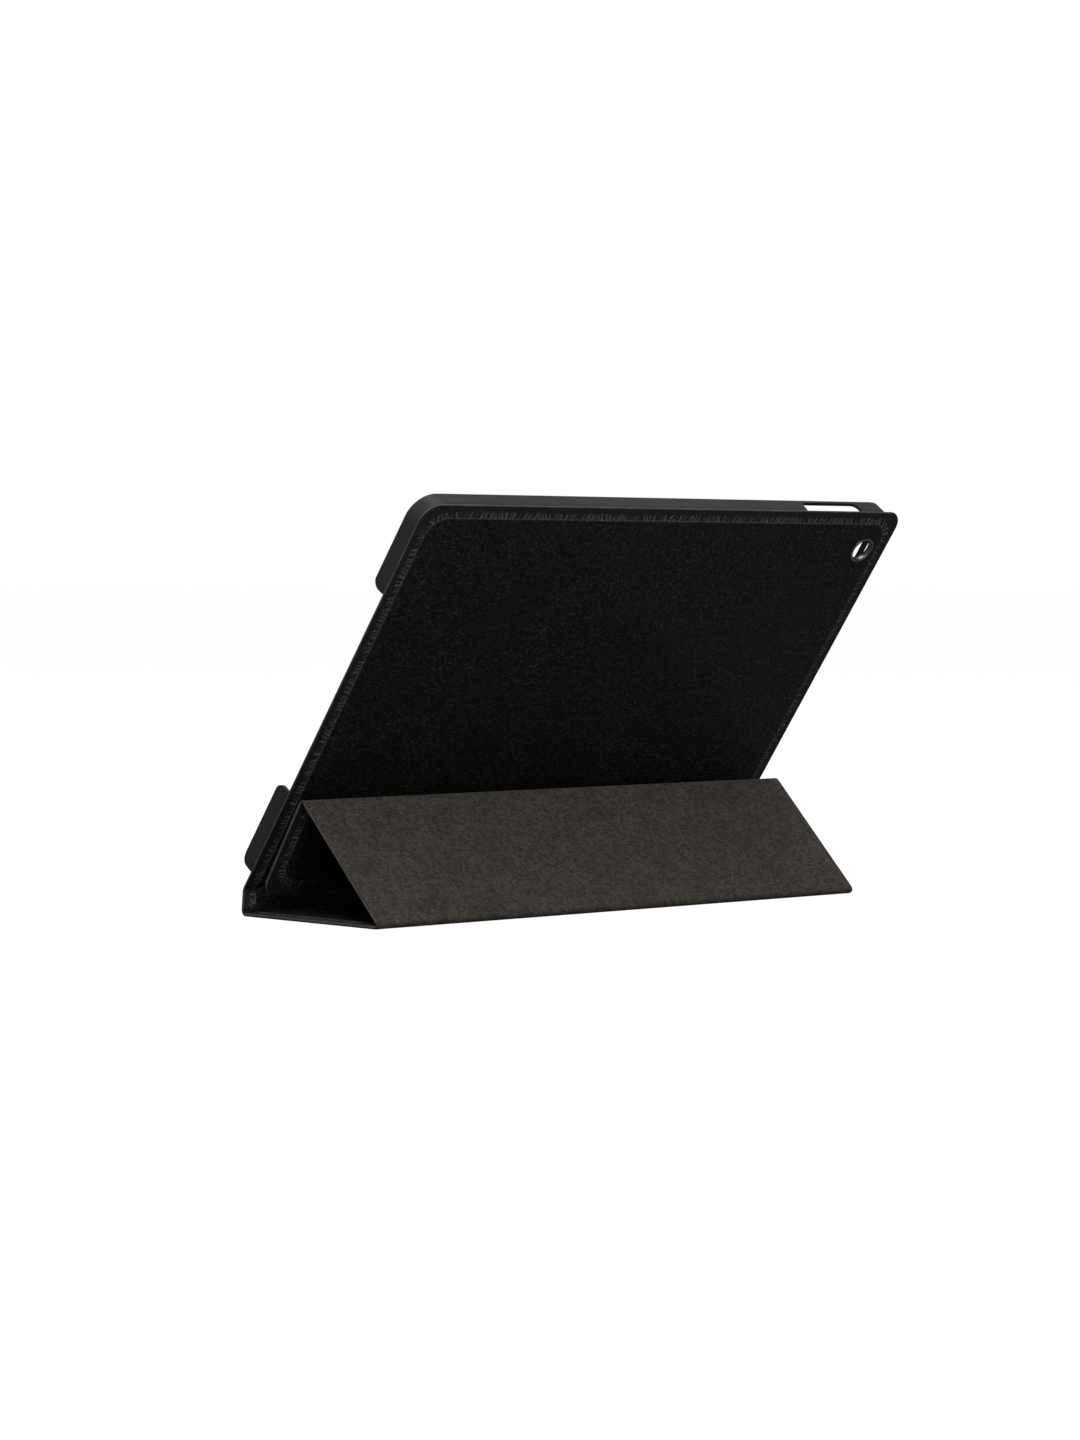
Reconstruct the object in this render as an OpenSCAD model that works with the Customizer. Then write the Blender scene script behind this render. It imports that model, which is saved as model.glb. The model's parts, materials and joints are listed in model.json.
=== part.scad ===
// Folio case for a 10-inch tablet, shown as a stand: a thin plastic tray with a
// leather-covered back, a spine, and a three-panel cover that folds into a prism
// behind the tray. Millimetres, +Z up. The screen side faces -Y, the stand +Y,
// and the origin is at the middle of the footprint, on the table.

/* [Tablet that the tray holds] */
// Tablet length, along the long side
tablet_length = 250.6; // [200:0.1:300]
// Tablet height, along the short side
tablet_height = 174.1; // [140:0.1:210]
// Tablet thickness
tablet_depth = 7.5; // [6:0.1:9.5]
// Gap between the tablet's edge and the tray wall
tablet_gap = 0.2; // [0.1:0.05:0.5]

/* [Tray] */
// Thickness of the tray's walls
wall = 1.3; // [1:0.1:1.8]
// Thickness of the tray's floor
tray_floor = 0.9; // [0.7:0.1:1.2]
// Thickness of the soft pad on the floor
pad_thick = 0.3; // [0.2:0.05:0.5]
// Outer corner radius of the tray, seen from the front
tray_corner = 10; // [9:0.5:15]
// Radius of the tray's long outer edges
edge_radius = 3.5; // [2:0.25:4.5]
// How far the rim leans in over the tablet
grip = 0.3; // [0.2:0.05:0.5]

/* [Back panel] */
// Leather beyond the tray at each end
end_overhang = 1.7; // [1:0.1:3]
// Leather beyond the tray at the top and the bottom
edge_overhang = 1.2; // [1:0.1:2]
// Corner radius of the leather at the top
back_corner = 8; // [4:0.5:11]
// Thickness of the board under the back's leather
back_board_thick = 0.4; // [0.3:0.05:0.7]

/* [Cover] */
// Thickness of the leather
leather = 0.5; // [0.4:0.05:0.8]
// Thickness of the board inside each panel
board = 0.7; // [0.5:0.05:1]
// Thickness of the microfibre lining
lining = 0.4; // [0.3:0.05:0.6]
// Leather turned round the edge of each board
turned_edge = 0.8; // [0.6:0.1:1.2]
// Cover beyond the top edge of the back when it is shut
cover_overhang = 3.5; // [1:0.1:5]
// Part of the cover's height in the base panel
base_share = 0.43; // [0.41:0.002:0.44]
// Corner radius of the cover's free edge
free_corner = 6; // [3:0.5:10]
// Air between the shut cover and the tray's rim
shut_gap = 0.2; // [0.1:0.05:0.5]

/* [Stand] */
// Tilt of the tray from the table
tilt = 54; // [50:1:58]
// Angle between the spine and the base panel
spine_lean = 84.7; // [80:0.1:88]
// Distance from the back's leather to the top fold's axis
stand_gap = 7.2; // [6.5:0.1:9]
// Height of the top fold up the back, as a part of the cover's height
stand_share = 0.262; // [0.25:0.002:0.27]
// Angle by which the inner panel splays from the back
inner_splay = 3.2; // [1:0.1:5]

/* [Openings for the tablet] */
// Height of the lower end of the port and speaker gap
port_from = 42.4; // [35:0.1:50]
// Length of the port and speaker gap
port_gap = 92.4; // [70:0.1:100]
// Distance of the volume slot from the camera end of the tablet
volume_from = 18.5; // [15:0.1:40]
// Length of the volume slot
volume_slot = 32; // [24:0.5:40]
// Plastic left between the volume slot and the rim
slot_bridge = 1.7; // [1.4:0.1:2.5]
// Distance of the power slot from the top of the tablet
power_from = 14; // [12:0.5:24]
// Length of the power slot
power_slot = 20; // [14:0.5:26]
// Height of the headphone hole above the tablet's lower edge
jack_height = 15; // [12:0.5:24]
// Radius of the headphone hole
jack_radius = 3.2; // [3:0.1:3.6]
// Distance of the camera from the end of the tablet
camera_from_end = 10.5; // [9:0.1:14]
// Distance of the camera from the top of the tablet
camera_from_top = 15.8; // [12:0.1:20]
// Inner radius of the camera ring
camera_radius = 4.7; // [4:0.1:6]
// Radius of the small dimple in the back
dimple_radius = 1.2; // [0.8:0.1:2]
// Height of the dimple above the tablet's lower edge
dimple_height = 80.4; // [60:0.1:100]

/* [Magnets] */
// Length of each closing magnet
magnet_length = 14; // [8:0.5:16]
// Width of each closing magnet
magnet_width = 5; // [3:0.5:6]
// Number of closing magnets
magnets = 5; // [3:1:7]
// Width of the steel strip in the base panel
steel_width = 12; // [8:0.5:16]

/* [Hidden] */
$fn = 64;

black_plastic = "#2a2b2a";
black_leather = "#151515";
brown_felt = "#4a4341";
grey_board = "#8a8378";

// Laminate of the cover: leather, board and lining
panel = leather + board + lining;
half_panel = panel / 2;

// Tray: depth is counted from the outer face of the back's leather
floor_depth = leather + back_board_thick;
pad_depth = floor_depth + tray_floor;
seat_depth = pad_depth + pad_thick;
case_depth = seat_depth + tablet_depth;
inner_length = tablet_length + 2 * tablet_gap;
inner_height = tablet_height + 2 * tablet_gap;
tray_length = inner_length + 2 * wall;
tray_height = inner_height + 2 * wall;
back_length = tray_length + 2 * end_overhang;
back_height = tray_height + 2 * edge_overhang;
tray_bottom = edge_overhang;
tray_top = tray_bottom + tray_height;
tablet_bottom = tray_bottom + wall + tablet_gap;
tablet_top = tablet_bottom + tablet_height;
tablet_end = tablet_length / 2;

// Folds: each axis is this far from the middle of the laminate, towards the leather
spine_fold_offset = 0.15;
panel_fold_offset = 0.6;
// Room between each fold's axis and the stiff end of the panel beside it
back_end_gap = 1.4;
spine_start_gap = 1.2;
base_end_gap = 1.7;
far_end_gap = 0.95;
top_end_gap = 1.25;
// Bare leather and lining at a fold
web_radius = 0.6;
web_lap = 0.1;
web_half = board / 2 + web_lap;

// The shut spine reaches from the back hinge over the tray's rim
spine_length = case_depth + shut_gap + spine_fold_offset;
cover_height = back_height + cover_overhang;
base_length = base_share * cover_height;

// Fold axes in the plane across the case, y then z, counted from the base hinge
base_axis = [0, half_panel + spine_fold_offset];
back_axis = base_axis + spine_length * [cos(spine_lean), sin(spine_lean)];
far_axis = [base_length, half_panel + panel_fold_offset];
back_normal = [sin(tilt), -cos(tilt)];
back_origin = back_axis + half_panel * back_normal;
top_axis = back_origin + stand_share * cover_height * [cos(tilt), sin(tilt)]
         + stand_gap * back_normal;
slope_length = norm(top_axis - far_axis);
free_length = cover_height - base_length - slope_length;
slope_turn = atan2(top_axis.y - far_axis.y, top_axis.x - far_axis.x);
inner_turn = 180 + tilt + inner_splay;
spine_turn = 180 + spine_lean;

// The footprint's middle goes to the origin
rim_front = back_origin.x + tray_bottom * cos(tilt) - case_depth * sin(tilt);
top_back = back_origin.x + back_height * cos(tilt);
far_back = far_axis.x + web_radius;
centre_y = (rim_front + max(top_back, far_back)) / 2;

// Details of the pockets and of the edges
lip_radius = 0.5;
lip_height = 0.4;
inner_edge_radius = 2.2;
pocket_gap = 0.1;
ring_flange = 1;
ring_barrel = 0.6;
ring_proud = 0.2;
ring_clearance = 0.1;
dimple_deep = 0.25;
gap_fillet = 4;
slot_fillet = 2.5;
magnet_inset = 6;
magnet_thick = board - pocket_gap;
steel_inset = 9;
steel_end_inset = 24;
sleep_magnet_radius = 4;
sleep_magnet_inset = 14;
sleep_magnet_from_end = 46;
// Overlap of pieces of one shape, and how far a cut runs past a face
floor_lap = 0.5;
cut_past = 1;
eps = 0.01;

// ---- Frames ----

module in_section(axis, turn) {
    translate([0, axis.x - centre_y, axis.y]) rotate([turn, 0, 0]) children();
}

// x along the case, y up the back, z into the tray from the leather's outer face
module in_tray() {
    in_section(back_origin, tilt) children();
}

// y along the panel from its fold axis, z towards the leather
module in_spine() {
    in_section(back_axis, spine_turn) children();
}

module in_base() {
    in_section(base_axis, 0) children();
}

module in_slope() {
    in_section(far_axis, slope_turn) children();
}

module in_inner() {
    in_section(top_axis, inner_turn) children();
}

// ---- Shared shapes ----

// Rectangle centred on x from y0 to y1, with its two far corners rounded
module plate_outline(length, y0, y1, far_radius = 0) {
    if (far_radius == 0) {
        translate([-length / 2, y0]) square([length, y1 - y0]);
    } else {
        translate([-length / 2, y0]) square([length, y1 - y0 - far_radius]);
        translate([-length / 2 + far_radius, y0]) square([length - 2 * far_radius, y1 - y0]);
        for (side = [-1, 1])
            translate([side * (length / 2 - far_radius), y1 - far_radius]) circle(far_radius);
    }
}

module plate(length, y0, y1, z0, thick, far_radius = 0) {
    translate([0, 0, z0]) linear_extrude(thick) plate_outline(length, y0, y1, far_radius);
}

// Leather skin with its edge turned over the board: the ends and, where free, the far edge
module leather_skin(y0, y1, offset, free_radius = 0) {
    far_turn = free_radius > 0 ? turned_edge : 0;
    board_radius = free_radius > 0 ? free_radius - turned_edge : 0;
    z_board = -offset - half_panel + lining;
    difference() {
        plate(back_length, y0, y1, z_board, board + leather, free_radius);
        plate(back_length - 2 * turned_edge, y0 - eps, y1 - far_turn + (far_turn > 0 ? 0 : eps),
              z_board - eps, board + eps, board_radius);
    }
}

module panel_board(y0, y1, offset, free_radius = 0) {
    far_turn = free_radius > 0 ? turned_edge : 0;
    board_radius = free_radius > 0 ? free_radius - turned_edge : 0;
    plate(back_length - 2 * turned_edge, y0, y1 - far_turn,
          -offset - half_panel + lining, board, board_radius);
}

module panel_lining(y0, y1, offset, free_radius = 0) {
    plate(back_length, y0, y1, -offset - half_panel, lining, free_radius);
}

// Bare laminate at a fold, joined to the stiff end of the panel before it
module fold_web(end_gap, low, high) {
    rotate([90, 0, 90]) translate([0, 0, -back_length / 2]) linear_extrude(back_length) {
        circle(web_radius);
        translate([-end_gap, low]) square([end_gap, high - low]);
    }
}

// ---- Tray ----

// Wall section: x outward from the corner's centre, y into the tray
module wall_section() {
    outer = tray_corner;
    inner = outer - wall;
    difference() {
        union() {
            translate([outer - edge_radius, floor_depth + edge_radius]) circle(edge_radius);
            translate([outer - edge_radius - 2 * floor_lap, floor_depth])
                square([2 * floor_lap, case_depth - floor_depth]);
            translate([outer - edge_radius, floor_depth + edge_radius])
                square([edge_radius, case_depth - lip_radius - floor_depth - edge_radius]);
            translate([outer - edge_radius, floor_depth + edge_radius])
                square([edge_radius - lip_radius, case_depth - floor_depth - edge_radius]);
            translate([outer - lip_radius, case_depth - lip_radius]) circle(lip_radius);
        }
        translate([inner - inner_edge_radius, pad_depth + inner_edge_radius])
            circle(inner_edge_radius);
        translate([0, pad_depth]) square([inner - inner_edge_radius, case_depth]);
        translate([0, pad_depth + inner_edge_radius])
            square([inner, case_depth - lip_height - pad_depth - inner_edge_radius]);
        translate([0, pad_depth + inner_edge_radius]) square([inner - grip, case_depth]);
    }
}

module tray_body() {
    half_x = tray_length / 2 - tray_corner;
    y0 = tray_bottom + tray_corner;
    y1 = tray_top - tray_corner;
    slab = tray_corner - edge_radius - floor_lap;
    // Corners
    for (corner = [[half_x, y1, 0], [-half_x, y1, 90], [-half_x, y0, 180], [half_x, y0, 270]])
        translate([corner.x, corner.y, 0]) rotate([0, 0, corner.z])
            rotate_extrude(angle = 90) wall_section();
    // Long walls
    translate([-half_x, y1, 0]) rotate([90, 0, 90]) linear_extrude(2 * half_x) wall_section();
    translate([half_x, y0, 0]) rotate([90, 0, -90]) linear_extrude(2 * half_x) wall_section();
    // End walls
    translate([half_x, y1, 0]) rotate([90, 0, 0]) linear_extrude(y1 - y0) wall_section();
    translate([-half_x, y0, 0]) rotate([90, 0, 180]) linear_extrude(y1 - y0) wall_section();
    // Floor
    translate([0, 0, floor_depth]) linear_extrude(tray_floor) {
        translate([-half_x - slab, y0]) square([2 * (half_x + slab), y1 - y0]);
        translate([-half_x, y0 - slab]) square([2 * half_x, y1 - y0 + 2 * slab]);
        for (x = [-half_x, half_x], y = [y0, y1]) translate([x, y]) circle(slab);
    }
}

// Gap in a wall, seen square on: x along the wall, y into the tray. The wall's
// corners at the rim are rounded.
module open_gap(from, length) {
    rim = case_depth - gap_fillet;
    translate([from, pad_depth]) square([length, case_depth - pad_depth + cut_past]);
    for (side = [0, 1])
        translate([from + side * length, 0]) mirror([side, 0]) difference() {
            translate([-gap_fillet, rim]) square([gap_fillet + eps, gap_fillet + cut_past]);
            translate([-gap_fillet, rim]) circle(gap_fillet);
        }
}

// Slot in a wall that leaves a bridge of plastic at the rim
module closed_slot(from, length) {
    top = case_depth - slot_bridge;
    translate([from, pad_depth]) square([length, top - slot_fillet - pad_depth]);
    translate([from + slot_fillet, pad_depth])
        square([length - 2 * slot_fillet, top - pad_depth]);
    for (x = [from + slot_fillet, from + length - slot_fillet])
        translate([x, top - slot_fillet]) circle(slot_fillet);
}

cut_depth = wall + grip + inner_edge_radius + cut_past;

module end_cut(side) {
    translate([side * (tray_length / 2 + cut_past), 0, 0]) rotate([90, 0, 90])
        translate([0, 0, side > 0 ? -cut_depth : 0]) linear_extrude(cut_depth) children();
}

module top_cut() {
    translate([0, tray_top + cut_past, 0]) rotate([90, 0, 0]) linear_extrude(cut_depth) children();
}

camera_x = -(tablet_end - camera_from_end);
camera_y = tablet_top - camera_from_top;
camera_hole = camera_radius + ring_barrel + ring_clearance;

module camera_bore(depth0, depth1) {
    translate([camera_x, camera_y, depth0 - cut_past])
        cylinder(r = camera_hole, h = depth1 - depth0 + 2 * cut_past);
}

module tray_shell() {
    color(black_plastic) in_tray() difference() {
        tray_body();
        end_cut(1) open_gap(tablet_bottom + port_from, port_gap);
        end_cut(-1) closed_slot(tablet_top - power_from - power_slot, power_slot);
        end_cut(-1) translate([tablet_bottom + jack_height, pad_depth + tablet_depth / 2])
            circle(jack_radius);
        top_cut() closed_slot(-tablet_end + volume_from, volume_slot);
        camera_bore(floor_depth, pad_depth);
    }
}

module tray_pad() {
    inset = inner_edge_radius + tablet_gap;
    radius = tray_corner - wall - inset;
    color(brown_felt) in_tray() difference() {
        translate([0, 0, pad_depth]) linear_extrude(pad_thick)
            for (flip = [0, 1])
                translate([0, flip * (tray_bottom + tray_top)]) mirror([0, flip])
                    plate_outline(inner_length - 2 * inset, (tray_bottom + tray_top) / 2 - eps,
                                  tray_top - wall - inset, radius);
        camera_bore(pad_depth, seat_depth);
    }
}

// ---- Back panel ----

module back_board() {
    color(grey_board) in_tray() difference() {
        plate(back_length - 2 * turned_edge, back_end_gap, back_height - turned_edge,
              leather, back_board_thick, back_corner - turned_edge);
        camera_bore(leather, floor_depth);
    }
}

module back_leather() {
    color(black_leather) in_tray() difference() {
        plate(back_length, back_end_gap, back_height, 0, floor_depth, back_corner);
        plate(back_length - 2 * turned_edge, back_end_gap - eps, back_height - turned_edge,
              leather, back_board_thick + eps, back_corner - turned_edge);
        camera_bore(0, leather);
        translate([camera_x, tablet_bottom + dimple_height, -cut_past])
            cylinder(r = dimple_radius, h = cut_past + dimple_deep);
    }
}

module camera_ring() {
    color("silver") in_tray() translate([camera_x, camera_y, 0]) difference() {
        union() {
            translate([0, 0, -ring_proud]) cylinder(r = camera_radius + ring_flange, h = ring_proud);
            translate([0, 0, -eps]) cylinder(r = camera_radius + ring_barrel, h = seat_depth + eps);
        }
        translate([0, 0, -cut_past]) cylinder(r = camera_radius, h = seat_depth + 2 * cut_past);
    }
}

module back_hinge() {
    color(black_leather) in_section(back_axis, 180 + tilt)
        fold_web(back_end_gap, half_panel - floor_depth, web_half);
}

// ---- Spine ----

spine_end = spine_length - base_end_gap;

module spine_leather() {
    color(black_leather) in_spine() leather_skin(spine_start_gap, spine_end, 0);
}

module spine_strip() {
    color(grey_board) in_spine() panel_board(spine_start_gap, spine_end, 0);
}

module spine_lining() {
    color(brown_felt) in_spine() panel_lining(spine_start_gap, spine_end, 0);
}

module base_hinge() {
    color(black_leather) in_section(base_axis, spine_turn)
        fold_web(base_end_gap, -web_half, web_half);
}

// ---- Base panel ----

base_end = base_length - far_end_gap;
steel_y = base_end_gap + steel_inset;
steel_length = back_length - 2 * steel_end_inset;

module base_leather() {
    color(black_leather) in_base() leather_skin(base_end_gap, base_end, spine_fold_offset);
}

module base_board() {
    color(grey_board) in_base() difference() {
        panel_board(base_end_gap, base_end, spine_fold_offset);
        plate(steel_length + 2 * pocket_gap, steel_y - pocket_gap,
              steel_y + steel_width + pocket_gap, -half_panel - cut_past, panel + 2 * cut_past);
    }
}

module base_lining() {
    color(brown_felt) in_base() panel_lining(base_end_gap, base_end, spine_fold_offset);
}

module base_steel() {
    color("silver") in_base()
        plate(steel_length, steel_y, steel_y + steel_width,
              -spine_fold_offset - half_panel + lining, board - pocket_gap);
}

module far_hinge() {
    color(black_leather) in_section(far_axis, 0)
        fold_web(far_end_gap, -web_half, half_panel - panel_fold_offset);
}

// ---- Slope panel ----

slope_end = slope_length - top_end_gap;

module slope_leather() {
    color(black_leather) in_slope() leather_skin(far_end_gap, slope_end, panel_fold_offset);
}

module slope_board() {
    color(grey_board) in_slope() panel_board(far_end_gap, slope_end, panel_fold_offset);
}

module slope_lining() {
    color(brown_felt) in_slope() panel_lining(far_end_gap, slope_end, panel_fold_offset);
}

module top_hinge() {
    color(black_leather) in_section(top_axis, slope_turn)
        fold_web(top_end_gap, -web_half, half_panel - panel_fold_offset);
}

// ---- Inner panel ----

magnet_pitch = (back_length - 2 * steel_end_inset - magnet_length) / (magnets - 1);
magnet_y = free_length - magnet_inset - magnet_width;
magnet_z = -panel_fold_offset - half_panel + lining;
sleep_x = back_length / 2 - sleep_magnet_from_end;
sleep_y = top_end_gap + sleep_magnet_inset;

module magnet_row(gap, z0, thick) {
    for (i = [0 : magnets - 1])
        translate([(i - (magnets - 1) / 2) * magnet_pitch, 0, 0])
            plate(magnet_length + 2 * gap, magnet_y - gap, magnet_y + magnet_width + gap, z0, thick);
}

module inner_leather() {
    color(black_leather) in_inner()
        leather_skin(top_end_gap, free_length, panel_fold_offset, free_corner);
}

module inner_board() {
    color(grey_board) in_inner() difference() {
        panel_board(top_end_gap, free_length, panel_fold_offset, free_corner);
        magnet_row(pocket_gap, magnet_z - cut_past, board + 2 * cut_past);
        translate([sleep_x, sleep_y, magnet_z - cut_past])
            cylinder(r = sleep_magnet_radius + pocket_gap, h = board + 2 * cut_past);
    }
}

module inner_lining() {
    color(brown_felt) in_inner()
        panel_lining(top_end_gap, free_length, panel_fold_offset, free_corner);
}

module closing_magnets() {
    color("silver") in_inner() magnet_row(0, magnet_z, magnet_thick);
}

module sleep_magnet() {
    color("silver") in_inner() translate([sleep_x, sleep_y, magnet_z])
        cylinder(r = sleep_magnet_radius, h = magnet_thick);
}

tray_shell();
tray_pad();
back_board();
back_leather();
camera_ring();
back_hinge();
spine_leather();
spine_strip();
spine_lining();
base_hinge();
base_leather();
base_board();
base_lining();
base_steel();
far_hinge();
slope_leather();
slope_board();
slope_lining();
top_hinge();
inner_leather();
inner_board();
inner_lining();
closing_magnets();
sleep_magnet();
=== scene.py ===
# Folio case for a 10-inch tablet, folded as a stand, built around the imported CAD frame.
# Metres, +Z up. Every panel is laid out in its own frame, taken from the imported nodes:
# x along the case, v along the panel away from its first fold, n towards its leather.
import json
import math

import bmesh
import bpy
import numpy as np
from mathutils import Matrix, Vector
from mathutils.geometry import delaunay_2d_cdt


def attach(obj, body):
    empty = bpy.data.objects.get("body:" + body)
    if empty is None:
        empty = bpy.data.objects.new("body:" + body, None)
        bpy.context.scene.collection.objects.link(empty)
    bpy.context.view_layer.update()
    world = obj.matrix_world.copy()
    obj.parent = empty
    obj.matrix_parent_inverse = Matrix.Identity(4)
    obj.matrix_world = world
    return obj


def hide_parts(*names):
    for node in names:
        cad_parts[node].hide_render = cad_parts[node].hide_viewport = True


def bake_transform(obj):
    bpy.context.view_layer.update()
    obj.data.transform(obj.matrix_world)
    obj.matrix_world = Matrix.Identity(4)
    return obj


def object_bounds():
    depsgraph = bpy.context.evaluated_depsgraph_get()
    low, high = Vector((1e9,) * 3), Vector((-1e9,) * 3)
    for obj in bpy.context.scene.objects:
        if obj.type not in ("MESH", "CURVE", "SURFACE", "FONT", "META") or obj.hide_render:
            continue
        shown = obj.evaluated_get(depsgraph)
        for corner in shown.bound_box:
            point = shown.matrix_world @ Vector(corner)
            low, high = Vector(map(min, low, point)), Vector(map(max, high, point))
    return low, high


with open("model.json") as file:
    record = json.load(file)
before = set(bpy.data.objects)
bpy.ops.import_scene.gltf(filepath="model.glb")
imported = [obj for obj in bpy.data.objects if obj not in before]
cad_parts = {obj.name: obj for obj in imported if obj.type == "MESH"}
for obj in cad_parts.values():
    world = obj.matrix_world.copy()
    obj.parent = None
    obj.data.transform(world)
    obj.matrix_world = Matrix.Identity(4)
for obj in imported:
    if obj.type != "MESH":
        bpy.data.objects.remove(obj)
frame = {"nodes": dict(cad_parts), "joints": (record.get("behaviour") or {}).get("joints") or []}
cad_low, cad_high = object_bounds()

MM = 0.001
NODES = frame["nodes"]
JOINTS = {joint["name"]: joint for joint in frame["joints"]}

# Camera: angles in degrees, lens and sensor in millimetres, the rest in metres. It is aimed
# a little beside the middle of the case
AZIMUTH, ELEVATION, ROLL = 137.12, 2.07, 0.108
LENS, SENSOR = 100.85, 36
DISTANCE = 1.5878
AIM_RIGHT, AIM_UP = -0.01499, -0.00664

# Soft studio light: share of the sky's light that reaches the case, the floor's own glow,
# each lamp's place and size in metres and its power in watts, and what the lamps face
AMBIENT, FLOOR_GLOW = 0.3, 0.93
LAMPS = (
    ("lamp_above", (-0.1, 0.15, 1.6), 1.0, 18),
    ("lamp_key", (0.8, 1.0, 1.05), 0.7, 25),
)
LAMP_AIM = Vector((0, 0, 0.08))
FLOOR_SIZE, FLOOR_BELOW = 30.0, 0.0002

# Meshes, in millimetres: distances between points, how near counts as touching, and how
# near two points are made one
FINE_PITCH, COARSE_PITCH = 0.5, 4.0
TOUCH, MERGE = 0.01, 1e-5
# A free edge so far away and a corner so sharp that an outline has neither
NO_EDGE, NO_CORNER = 1e6, 0.001
# Steps along a fold, and the fewest points round a hole
BEND_STEPS = 20
LEAST_TURNS = 12
# A triangle nearer to a hole's centre than this share of its radius would fill the hole
HOLE_SHARE = 0.97

# Leather, in millimetres: distances in from a free edge, and heights
EDGE_RADIUS = 0.4
BORDER_DROP = 0.32
STEP_FROM, STEP_TO = 2.9, 5.9
STEP_CORNER = 14.0
RIPPLE = 0.1
EDGE_RINGS = (0.0, 0.03, 0.1, 0.2, 0.32, 0.5)
STEP_RINGS = (1.4, 2.4, 2.9, 3.3, 3.7, 4.1, 4.5, 4.9, 5.2, 5.5, 5.75, 5.9, 6.1, 6.6, 7.4)
CAMERA_RINGS = (0, 0.4, 0.9, 1.5, 2.1, 2.7, 3.3, 4.2)
# Where the painted highlight line lies inside the step's top, and how wide it is
LINE_INSET, LINE_WIDTH = 0.25, 0.3
# Puckers: how far they reach past the step's start and end and fade there, how far they
# fade at a fold, and shifts that give the sides and the far edge unlike puckers
PUCKER_START, PUCKER_START_FADE = 0.6, 1.6
PUCKER_END, PUCKER_END_FADE = 0.2, 0.8
PUCKER_FADE = 3
SIDE_SHIFT, FAR_SHIFT = 11, 60
# Dents in the back: the groove and the sunk rim round the camera's hole, and the dimple's
# pit and lip
GROOVE_DEPTH, GROOVE_OUT, GROOVE_WIDTH = 0.09, 2.0, 0.9
SUNK_DEPTH, SUNK_OUT, SUNK_WIDTH = 0.05, 1.2, 0.8
PIT_DEPTH, PIT_FLOOR, PIT_SLOPE = 0.28, 0.4, 1.3
LIP_HEIGHT, LIP_RADIUS, LIP_WIDTH = 0.03, 1.9, 0.4
# The turned edge, ring by ring: inset at the two ends, inset at the folds, and height over
# the board's lower face. A panel with a free edge is inset alike all round
TURNED_EDGE, FOLD_LIP = 0.8, 0.25
TURN_RINGS = ((0, 0, 0.12), (0.04, 0, 0.03), (0.12, 0, 0), (TURNED_EDGE, FOLD_LIP, 0))
# The power that shapes the step, and how steeply and from what height a pucker takes its painted
# highlight
STEP_CURVE = 1.6
CREST_GAIN, CREST_FROM = 4.0, 0.08

# Lining, in millimetres
FELT_INSET = 0.35
FELT_RADIUS, FELT_CORNER = 0.14, 0.5
FELT_RINGS = (0.0, 0.03, 0.08, 0.15, 0.6, 2.0)
FELT_TAIL = 1.4
PAD_RINGS = (0.0, 0.05, 0.12, 0.4)
PAD_PITCH, PAD_MARGIN, PAD_HOLE_MARGIN = 6, 4, 2
# Steps round each of the pad's corners, and round its hole
PAD_CORNER_STEPS, PAD_HOLE_STEPS = 12, 48

# Camera ring: steps round it and over its crown, and the crown's power. In millimetres:
# its chamfer, and how far its flange's foot is set in and sunk into the leather
RING_TURNS, CROWN_STEPS, CROWN_CURVE = 96, 8, 0.8
CHAMFER = 0.1
FLANGE_INSET, FLANGE_SUNK = 0.15, (0.02, 0.06)

# Metals: material, dark and light tone, roughness, and how fine the brushing is each way
METALS = {
    "ring": ("ring_satin", (0.16, 0.16, 0.157), (0.2, 0.2, 0.197), 0.34, (600, 3000, 3000)),
    "steel": ("steel_sheet", (0.42, 0.42, 0.43), (0.55, 0.55, 0.56), 0.35, (200, 2600, 2600)),
    "magnet": ("magnet_nickel", (0.55, 0.53, 0.5), (0.66, 0.64, 0.6), 0.25, (900, 2000, 2000)),
}


# ---- Small helpers ----

def smooth(t):
    """Eases from 0 to 1 as t goes from 0 to 1."""
    t = np.clip(t, 0, 1)
    return t * t * (3 - 2 * t)


def coords(node):
    """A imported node's points, in metres."""
    mesh = NODES[node].data
    flat = np.empty(len(mesh.vertices) * 3)
    mesh.vertices.foreach_get("co", flat)
    return flat.reshape(-1, 3)


def make_object(name, points, faces, body=None, attributes=None, sharp=40):
    """A mesh piece from points in metres, with edges sharper than an angle left sharp."""
    mesh = bpy.data.meshes.new(name)
    mesh.from_pydata([tuple(p) for p in points], [], [tuple(int(i) for i in f) for f in faces])
    for key, values in (attributes or {}).items():
        layer = mesh.attributes.new(key, "FLOAT", "POINT")
        layer.data.foreach_set("value", np.asarray(values, np.float32))
    work = bmesh.new()
    work.from_mesh(mesh)
    bmesh.ops.recalc_face_normals(work, faces=work.faces)
    for face in work.faces:
        face.smooth = True
    for edge in work.edges:
        if len(edge.link_faces) == 2:
            edge.smooth = edge.calc_face_angle() < math.radians(sharp)
    work.to_mesh(mesh)
    work.free()
    piece = bpy.data.objects.new(name, mesh)
    bpy.context.scene.collection.objects.link(piece)
    if body:
        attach(piece, body)
    return piece


def triangulate(points, loops):
    """Triangles between closed loops, over loose points: indices into points."""
    edges = [(loop[i], loop[(i + 1) % len(loop)]) for loop in loops for i in range(len(loop))]
    flat = [Vector((float(p[0]), float(p[1]))) for p in points]
    made = delaunay_2d_cdt(flat, edges, [], 1, MERGE)
    first = [origins[0] for origins in made[3]]
    return [[first[i] for i in face] for face in made[2]]


# ---- Panels ----

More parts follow.
